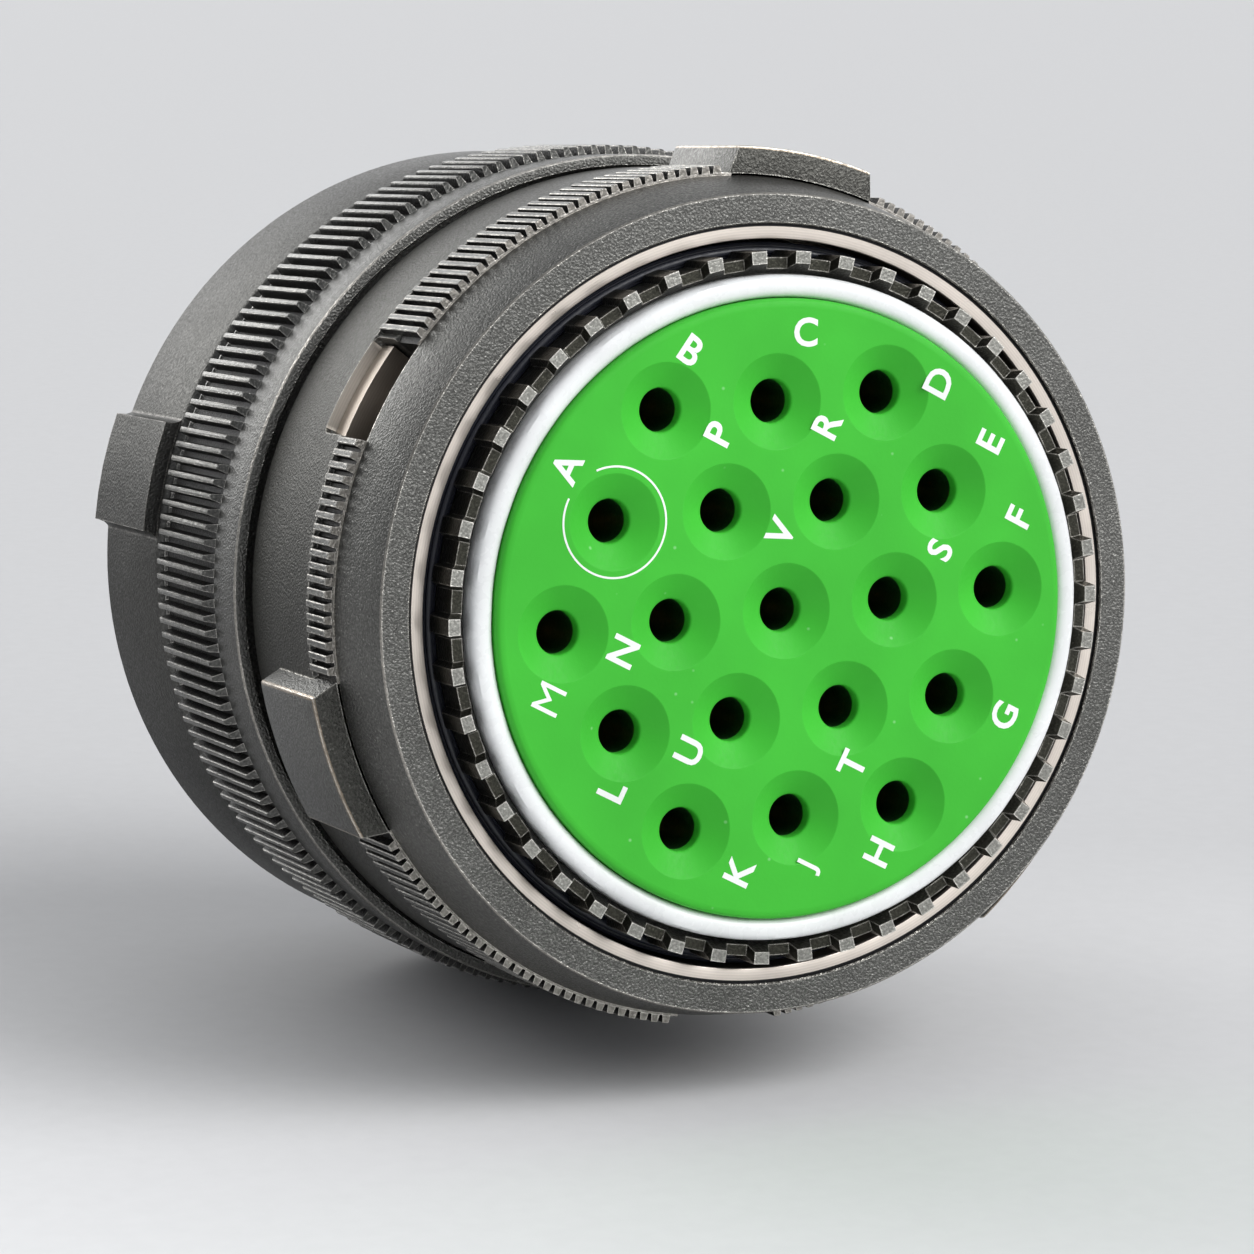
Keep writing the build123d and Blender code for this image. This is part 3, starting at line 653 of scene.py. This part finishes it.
outline += [(sleeve_bore, height) for height in (
    knurl_front, knurl_front - 0.1, short_rear + step_height, short_rear, window_rear, flange_front)]
outline += [(flange_bore, flange_front), (flange_bore, flange_rear), (skirt_bore, flange_rear)]
spun(ring, outline, 300, start=window_middle - window_width / 2)
# Where the ridges are long, the band that they run over is turned down to their root.
for vert in ring.verts:
    turn = math.degrees(math.atan2(vert.co.y, vert.co.x))
    place = (ring_turn - turn) % 120
    in_band = window_rear - 0.02 < vert.co.z < short_rear + 0.02 and vert.co.xy.length > ring_radius - 0.05
    if long_start < place < long_end and in_band:
        vert.co.xy = vert.co.xy * knurl_root / ring_radius
# Sight windows, with the walls between the outer and the inner edge of each opening.
half_window = math.radians(window_width / 2 - 0.1)
for i in range(3):
    unturned = about_axis(-window_middle - 120 * i)
    gone = []
    for wall in ring.faces:
        middle = unturned @ wall.calc_center_median()
        wide = middle.x > 0 and abs(math.atan2(middle.y, middle.x)) < half_window
        outside = middle.xy.length > knurl_root - 0.15 and window_rear < middle.z < knurl_front + 0.02
        inside = middle.xy.length < sleeve_bore + 0.13 and window_rear < middle.z < knurl_front
        if wide and (outside or inside):
            gone.append(wall)
    bmesh.ops.delete(ring, geom=gone, context="FACES")
    bmesh.ops.bridge_loops(ring, edges=[edge for edge in ring.edges if edge.is_boundary])


def round_edges(mesh, edges, width, segments):
    """Bevels edges with a round of a given width."""
    bmesh.ops.bevel(mesh, geom=edges, offset=width, offset_type="OFFSET", segments=segments, profile=0.5,
                    affect="EDGES", clamp_overlap=True, material=-1)


corners = [edge for edge in ring.edges if abs(edge.verts[0].co.xy.length - edge.verts[1].co.xy.length) > 1.5
           and all(abs(v.co.z - window_rear) < 0.01 for v in edge.verts) and edge.calc_face_angle() > 1.0]
round_edges(ring, corners, window_corner, 4)


def add_block(mesh, near, far, low, high, base, top, edge_round, turn, slope=0.0, segments=1):
    """Adds a bar with sloping flanks and rounded upper edges, set radially at an angle."""
    block = bmesh.new()
    bmesh.ops.create_cube(block, size=1.0)
    for vert in block.verts:
        above = vert.co.x > 0
        ahead = vert.co.z > 0
        vert.co = Vector((far if above else near, (top if above else base) * vert.co.y,
                          (high - slope if above else high) if ahead else low))
    crest = [edge for edge in block.edges if all(v.co.x > (near + far) / 2 for v in edge.verts)]
    round_edges(block, crest, edge_round, segments)
    bmesh.ops.rotate(block, verts=block.verts, cent=(0, 0, 0), matrix=about_axis(turn))
    shape = bpy.data.meshes.new("block")
    block.to_mesh(shape)
    block.free()
    mesh.from_mesh(shape)
    bpy.data.meshes.remove(shape)


# From each lug to the sight window the ridges are short, and from the window on they are long.
for i in range(bar_count):
    turn = (i + 0.5) * 360 / bar_count
    place = (ring_turn - turn) % 120
    at_lug = min(place, 120 - place) < lug_base_width / 2 + 0.1
    at_window = abs(place - window_place) < window_width / 2 + 0.4
    if at_lug or at_window:
        continue
    uneven = 0.05 * math.sin(i * 2.7)
    rear = (long_rear + 0.12 if place > long_start else short_rear + 0.1) + uneven
    add_block(ring, near=bar_foot, far=knurl_crest + 0.1 * uneven, low=rear, high=knurl_front - 0.015,
              base=bar_base_width, top=bar_top_width, edge_round=0.035, turn=turn)


def add_sector(mesh, near, far, low, high, middle, base, top):
    """Adds a block between two radii whose flanks lean in towards its top."""
    made = spun(mesh, [(near, low), (far, low), (far, high), (near, high)], 14, start=middle - base / 2,
                sweep=base)
    own = set(made)
    ends = [edge for edge in mesh.edges if edge.is_boundary and edge.verts[0] in own]
    bmesh.ops.holes_fill(mesh, edges=ends, sides=4)
    for vert in made:
        out = vert.co.xy.length
        share = (out - near) / (far - near)
        turn = math.degrees(math.atan2(vert.co.y, vert.co.x)) - middle
        turn = (turn + 180) % 360 - 180
        angle = math.radians(middle + turn * (1 + (top / base - 1) * share))
        vert.co = Vector((out * math.cos(angle), out * math.sin(angle), vert.co.z))
    return made


# Three grip lugs, milled from the same bar, with a small chamfer along every edge.
for i in range(3):
    lug = set(add_sector(ring, near=lug_foot, far=lug_top, low=lug_rear, high=knurl_front,
                         middle=ring_turn + 120 * i, base=lug_base_width, top=lug_top_width))
    crests = [edge for edge in ring.edges if edge.verts[0] in lug and len(edge.link_faces) == 2
              and edge.calc_face_angle() > 0.6 and max(v.co.xy.length for v in edge.verts) > lug_top - 0.15]
    round_edges(ring, crests, lug_chamfer, 2)
coupling = finish_piece(ring, "knurled_ring", grey, "coupling_ring", "grey_finish", "coupling_ring")
# The front ends of the ridges, their ledge and the rim's edge are paler: partly rubbed wear, partly painted
# highlight.
bright = finished("rubbed_edge_and_painted_highlight", plating, {"Plating": (0.27, 0.255, 0.23), "Rubbed": (0.8, 0.76, 0.7)},
                  {"Grain Scale": 7000.0, "Grain": 0.5, "Edge Width": 0.00008, "Edge Wear": 0.9},
                  metallic=0.9)
worn_highlight_slot = add_finish(coupling, bright)
# The floors and flanks of the grooves between the ridges are coloured nearly black: painted shade.
groove_shade = finished("knurl_groove_shade", plating, {"Plating": (0.03, 0.029, 0.027), "Rubbed": (0.1, 0.1, 0.09)},
                 {"Edge Wear": 0.2}, metallic=0.6, specular=0.3, edge_tint=0.3)
groove_shade_slot = add_finish(coupling, groove_shade)
# The rear wall of each window was left bright by the milling cutter.
window_slot = add_finish(coupling, finished(
    "window_steel", turned_metal, {"Metal": (0.8, 0.74, 0.66), "Pits": (0.15, 0.12, 0.1)},
    {"Ring Scale": 2600.0, "Rings": 0.2, "Pit Amount": 0.5, "Roughness": 0.34}, metallic=0.75))
# Painted shade: a darker copy of the plating on the rear band and the lug fronts. The lug chamfers are brown
# with wear.
shaded_rear_slot = add_finish(coupling, finished(
    "painted_shade_plating", plating, {"Plating": (0.068, 0.067, 0.061), "Rubbed": (0.7, 0.68, 0.62)},
    {"Grain Scale": 9000.0, "Grain": 0.9, "Edge Width": 0.0001, "Edge Wear": 0.9}, metallic=0.9,
    edge_tint=0.6))
chamfer_slot = add_finish(coupling, finished(
    "worn_chamfer", plating, {"Plating": (0.2, 0.165, 0.125), "Rubbed": (0.85, 0.8, 0.72)},
    {"Grain Scale": 6500.0, "Grain": 0.6, "Edge Width": 0.00012, "Edge Wear": 1.0}, metallic=0.9))


def facing_out(side):
    """How nearly a face looks straight away from the axis or towards it, from 0 to 1."""
    return abs(side.normal.xy.normalized().dot(side.center.xy.normalized()))


def ring_slot(side, widest):
    """Finish of a face of the coupling ring, by its place and its farthest corner in millimetres."""
    out = side.center.xy.length / MM
    height = side.center.z / MM
    looks_ahead = side.normal.z > 0.9
    below_lug = widest < knurl_crest + 0.13
    # Paler faces that look ahead, and the rim's edge: partly rubbed wear, partly painted highlight.
    if looks_ahead and below_lug and abs(height - knurl_front) < 0.1:
        return worn_highlight_slot
    if ring_front - 0.08 < height < ring_front - 0.01 and out > rim_radius - 0.07:
        return worn_highlight_slot
    slant = side.normal.xy.length * facing_out(side)
    if out > lug_top - 0.25 and (side.area < 6e-8 or 0.2 < slant < 0.97):
        return chamfer_slot
    # Painted shade on the rear band and on the front faces of the lugs.
    if height < short_rear and ring_radius - 0.55 < out < ring_radius + 0.01 and widest < ring_radius + 0.02:
        return shaded_rear_slot
    if looks_ahead and not below_lug and height < knurl_front + 0.1:
        return shaded_rear_slot
    if looks_ahead and abs(height - window_rear) < 0.05 and out < knurl_crest - 0.17:
        return window_slot
    # Painted shade on the floors and flanks of the grooves.
    if long_rear < height < knurl_front and out < ring_radius:
        if abs(widest - knurl_root) < 0.02 and side.normal.z < 0.3:
            return groove_shade_slot
        flank = abs(side.normal.z) < 0.2 and side.area < 3.5e-6 and facing_out(side) < 0.6
        if flank and below_lug and out > knurl_root - 0.1:
            return groove_shade_slot
    return 0


vertices = coupling.data.vertices
for side in coupling.data.polygons:
    side.material_index = ring_slot(side, max(vertices[i].co.xy.length for i in side.vertices) / MM)

# Rear nut: turned from bar and straight knurled. It draws the rear body on to the shell.
# Its cords are rounded, and their crests are rubbed by the hands and tools that turned it.
nut_rear = 16.0
nut_front = 26.8
band_radius = 20.05
rear_radius = 20.1
cord_root = 20.0
cord_crest = 20.5
cord_rear = 16.45
cord_front = 23.9
cord_foot = 19.7
cord_base_width = 0.56
cord_top_width = 0.28
cord_count = 180
front_bore = 15.98
front_groove_outer = 19.45
front_groove_inner = 18.4
front_groove_floor = 25.0
collar_bore = 17.2
collar_front = 18.3
wire_groove_radius = 17.67
wire_groove_rear = 16.27
wire_groove_front = 16.93
nut_grey = finished("nut_plating", plating, {"Plating": (0.1, 0.099, 0.093), "Rubbed": (0.65, 0.63, 0.58)},
                    {"Grain Scale": 9000.0, "Grain": 0.9, "Edge Width": 0.00008, "Edge Wear": 0.85,
                     "Crest Radius": (cord_crest - 0.015) * MM}, metallic=0.9, edge_tint=0.8)
nut = bmesh.new()
spun(nut, [(collar_bore, nut_rear), (rear_radius - 0.55, nut_rear), (rear_radius - 0.25, nut_rear + 0.06),
           (rear_radius - 0.08, nut_rear + 0.2), (rear_radius, nut_rear + 0.4),
           (rear_radius, nut_rear + 0.5),
           (cord_root, nut_rear + 0.62), (cord_root, cord_front - 0.18), (band_radius, cord_front - 0.1),
           (band_radius, nut_front - 0.18), (band_radius - 0.06, nut_front - 0.05),
           (band_radius - 0.19, nut_front), (19.56, nut_front), (19.5, nut_front - 0.06),
           (front_groove_outer, front_groove_floor),
           (front_groove_inner, front_groove_floor), (18.3, nut_front),
           (front_bore, nut_front), (front_bore, collar_front), (collar_bore, collar_front),
           (collar_bore, wire_groove_front), (wire_groove_radius, wire_groove_front),
           (wire_groove_radius, wire_groove_rear), (collar_bore, wire_groove_rear)], 240)
for i in range(cord_count):
    uneven = 0.02 * math.sin(i * 1.9)
    add_block(nut, near=cord_foot, far=cord_crest + 0.3 * uneven, low=cord_rear, high=cord_front + uneven,
              base=cord_base_width, top=cord_top_width, edge_round=0.1, turn=(i + 0.5) * 360 / cord_count,
              slope=0.5, segments=2)
knurled = finish_piece(nut, "knurled_nut", nut_grey, "rear_nut", "grey_finish", "rear_nut")
# The floors of the grooves and the flanks of the cords are coloured nearly black: painted shade.
nut_groove_shade = add_finish(knurled, groove_shade)
# The front chamfer is paler: partly rubbed wear, partly painted highlight.
nut_worn_highlight = add_finish(knurled, bright)
for side in knurled.data.polygons:
    out = side.center.xy.length / MM
    height = side.center.z / MM
    groove_floor = abs(out - cord_root) < 0.005
    flank = facing_out(side) < 0.6 and cord_root - 0.1 < out < cord_root + 0.3
    if nut_rear + 0.6 < height < cord_front - 0.1 and (groove_floor or flank):
        side.material_index = nut_groove_shade
    elif nut_front - 0.18 < height < nut_front - 0.05 and out > cord_root:
        side.material_index = nut_worn_highlight

# Rear body: a hollow turned body with a threaded boss, three wrench lugs and a collar for the nut.
# Aluminium, blasted and plated like the ring, with a smoother grain. The thread takes a cable clamp.
body_grey = finished("body_plating", plating,
                     {"Plating": (0.088, 0.087, 0.082), "Rubbed": (0.5, 0.48, 0.45)},
                     {"Grain Scale": 8000.0, "Grain": 0.6, "Edge Width": 0.0001, "Edge Wear": 0.7},
                     metallic=0.9, edge_tint=0.45)
body_radius = 20.2
shoulder = 7.0
body_front = 15.8
boss_radius = 15.1
neck_radius = 15.9
collar_radius = 16.85
collar_rear = 17.2
seal_outer = 15.46
seal_inner = 14.66
seal_floor = 17.5
shell_bore = 14.22
shell_stop = 15.3
wire_bore = 13.4
wire_radius = 11.0
body = bmesh.new()
spun(body, [(wire_radius, 0.2), (wire_radius + 0.2, 0.0), (boss_radius - 0.2, 0.0), (boss_radius, 0.2),
            (boss_radius, shoulder - 0.5), (boss_radius + 0.2, shoulder - 0.2),
            (boss_radius + 0.6, shoulder),
            (body_radius, shoulder), (body_radius, body_front), (neck_radius, body_front),
            (neck_radius, collar_rear), (collar_radius, collar_rear), (collar_radius, collar_front),
            (seal_outer, collar_front), (seal_outer, seal_floor), (seal_inner, seal_floor),
            (seal_inner, collar_front), (shell_bore, collar_front), (shell_bore, shell_stop),
            (wire_bore, shell_stop), (wire_bore, 6.0), (wire_radius, 3.0)], 192)
outside = [side for side in body.faces if side.calc_center_median().xy.length > body_radius - 0.4]
shared = {edge for side in outside for edge in side.edges}
round_edges(body, [edge for edge in shared if edge.calc_face_angle() > math.radians(60.0)], 0.5, 4)
# Thread: one rib that winds forward round the boss and runs out at both ends.
thread_pitch = 1.41
thread_turns = 4.1
thread_crest = 15.85
thread_root = 14.95
turn_steps = 72
helix = [body.verts.new((radius, 0, height)) for radius, height in
         ((thread_root, -0.3), (thread_crest, 0.21), (thread_crest, 0.39), (thread_root, 0.9))]
helix_edges = [body.edges.new((helix[i - 1], helix[i])) for i in range(4)]
turned = set(body.verts) - set(helix)
bmesh.ops.spin(body, geom=helix + helix_edges, cent=(0, 0, 0), axis=(0, 0, 1),
               dvec=(0, 0, thread_pitch / turn_steps), angle=math.radians(thread_turns * 360),
               steps=int(thread_turns * turn_steps), use_merge=False, use_duplicate=False)
bmesh.ops.holes_fill(body, edges=[edge for edge in body.edges if edge.is_boundary], sides=4)
for vert in body.verts:
    if vert not in turned:
        vert.co.z = max(0.05, vert.co.z)
        run_out = min(vert.co.z, max(0.0, shoulder - 0.45 - vert.co.z))
        limit = min(thread_crest, thread_root + 0.03 + 1.1 * run_out)
        if vert.co.xy.length > limit:
            vert.co.xy = vert.co.xy.normalized() * limit
# Wrench lugs: three flat pads across the body, each with a hollow fillet down either flank.
pad_turn = 104.0
pad_radius = 20.9
pad_foot = 19.4
pad_rear = shoulder + 0.45
pad_length = 7.9
pad_half = 7.35
pad_quarter = 3.7
fillet = [(-pad_half - 1.55, pad_radius - 0.8), (-pad_half - 0.75, pad_radius - 0.66),
          (-pad_half - 0.35, pad_radius - 0.48), (-pad_half - 0.1, pad_radius - 0.2),
          (-pad_half, pad_radius)]
pad = [(-pad_half - 1.55, pad_foot), *fillet, (-pad_quarter, pad_radius), (0.0, pad_radius),
       (pad_quarter, pad_radius), *((-angle, radius) for angle, radius in reversed(fillet)),
       (pad_half + 1.55, pad_foot)]
for i in range(3):
    middle = pad_turn + 120 * i
    corners = []
    for angle, radius in pad:
        turn = math.radians(middle + angle)
        corners.append(body.verts.new((radius * math.cos(turn), radius * math.sin(turn), pad_rear)))
    grown = bmesh.ops.extrude_face_region(body, geom=[body.faces.new(corners)], use_keep_orig=True)
    raised = [vert for vert in grown["geom"] if isinstance(vert, bmesh.types.BMVert)]
    bmesh.ops.translate(body, verts=raised, vec=(0, 0, pad_length))
finish_piece(body, "threaded_body", body_grey, "rear_body", "grey_finish", "rear_body")

# Photograph's view: the plug is seen past its mating face, from the right and slightly above.
# The clock angle turns the layout about the axis as it is in the photograph.
view_azimuth = math.radians(23.8)
view_elevation = math.radians(5.67)
clock = math.radians(-63.0)
view_distance = 193.2 * MM
focal_pixels = 4377.0
frame_pixels = 1254.0
face_pixel = Vector((786.5, 611.0))
axis = Vector((math.sin(view_azimuth) * math.cos(view_elevation), math.sin(view_elevation),
               -math.cos(view_azimuth) * math.cos(view_elevation)))
across = (Vector((1, 0, 0)) - axis * axis.x).normalized()
down = axis.cross(across)
if down.y < 0:
    down = -down
x_axis = math.cos(clock) * across + math.sin(clock) * down
y_axis = math.sin(clock) * across - math.cos(clock) * down
picture = Matrix((x_axis, y_axis, axis))
offset = (face_pixel - Vector((frame_pixels, frame_pixels)) / 2) / focal_pixels * view_distance
face_point = Vector((offset.x, offset.y, view_distance))
camera = bpy.data.objects.new("camera", bpy.data.cameras.new("camera"))
bpy.context.scene.collection.objects.link(camera)
camera.data.sensor_width = 36.0
camera.data.lens = focal_pixels / frame_pixels * 36.0
camera.data.clip_start = 0.01
eye = Vector((0, 0, face_top * MM)) - picture @ face_point
image_right = picture @ Vector((1, 0, 0))
image_up = picture @ Vector((0, -1, 0))
toward = picture @ Vector((0, 0, -1))
aim = Matrix((image_right, image_up, toward)).transposed()
camera.matrix_world = Matrix.Translation(eye) @ aim.to_4x4()
bpy.context.scene.camera = camera

# Floor: a wide sheet of pale grey card. The plug lies on it on its side, on a lug of the rear body.
# The card is lighter near the camera than far away.
floor_tilt = math.radians(9.5)
floor_up = (image_up * math.cos(floor_tilt) + toward * math.sin(floor_tilt)).normalized()
lowest = min((thing.matrix_world @ vert.co).dot(floor_up) for thing in bpy.context.scene.objects
             if thing.type == "MESH" for vert in thing.data.vertices)
sheet = bmesh.new()
bmesh.ops.create_grid(sheet, x_segments=8, y_segments=8, size=4.0)
upright = floor_up.to_track_quat("Z", "Y").to_matrix()
bmesh.ops.rotate(sheet, verts=sheet.verts, cent=(0, 0, 0), matrix=upright)
bmesh.ops.translate(sheet, verts=sheet.verts, vec=floor_up * (lowest - 0.00002))
sheet_mesh = bpy.data.meshes.new("floor")
sheet.to_mesh(sheet_mesh)
sheet.free()
card = bpy.data.materials.new("grey_card")
card.use_nodes = True
tree = card.node_tree
shader = tree.nodes["Principled BSDF"]
feed(tree, 0.1, shader.inputs["Specular IOR Level"])
feed(tree, 0.9, shader.inputs["Roughness"])
place = tree.nodes.new("ShaderNodeTexCoord").outputs["Object"]
fibres = spread(tree, noise(tree, place, 900.0, 3.0), 0.3, 0.7, 0.985, 1.01)
depth = spread(tree, dot_product(tree, place, -toward), -0.11, 0.02)
tone = blend_colours(tree, depth, (0.79, 0.79, 0.795), (0.485, 0.485, 0.49))
feed(tree, blend_colours(tree, 1.0, tone, grey_of(tree, fibres), "MULTIPLY"), shader.inputs["Base Color"])
sheet_mesh.materials.append(card)
floor = bpy.data.objects.new("floor", sheet_mesh)
bpy.context.scene.collection.objects.link(floor)

# Studio light: a wide soft sun from above and the right, as a large lamp behind a screen gives it.
# The room is pale, with soft boxes for the metal to mirror.
sun = bpy.data.lights.new("key", "SUN")
sun.energy = 1.9
sun.angle = math.radians(45.0)
key = bpy.data.objects.new("key", sun)
bpy.context.scene.collection.objects.link(key)
key.rotation_mode = "QUATERNION"
key.rotation_quaternion = (image_right + image_up * 0.75 + toward * 0.5).to_track_quat("Z", "Y")
world = bpy.data.worlds.new("studio")
bpy.context.scene.world = world
world.use_nodes = True
tree = world.node_tree
sky = tree.nodes.new("ShaderNodeTexCoord").outputs["Generated"]
height = dot_product(tree, sky, (image_up * 0.9 + image_right * 0.4).normalized())
room = blend_colours(tree, spread(tree, height, -0.4, 0.9), (0.25, 0.26, 0.28), (0.72, 0.74, 0.77))
# Four soft patches: two boxes behind on the left, a wall behind, and a low box in front on the right.
for direction, start, full, level in (
        (image_up * 0.42 - image_right * 0.6 - toward * 0.68, 0.9, 0.985, 5.0),
        (image_up * 0.5 - image_right * 0.76 - toward * 0.4, 0.94, 0.99, 4.0),
        (image_up * 0.5 - toward * 0.85, 0.84, 0.97, 1.9),
        (image_up * 0.44 + image_right * 0.64 + toward * 0.63, 0.85, 0.97, 2.7)):
    patch = spread(tree, dot_product(tree, sky, direction.normalized()), start, full)
    shine = blend_colours(tree, patch, (0.0, 0.0, 0.0), (level, level, level))
    room = blend_colours(tree, 1.0, room, shine, "ADD")
feed(tree, room, tree.nodes["Background"].inputs["Color"])
feed(tree, 0.75, tree.nodes["Background"].inputs["Strength"])
bpy.context.scene.view_settings.view_transform = "Standard"
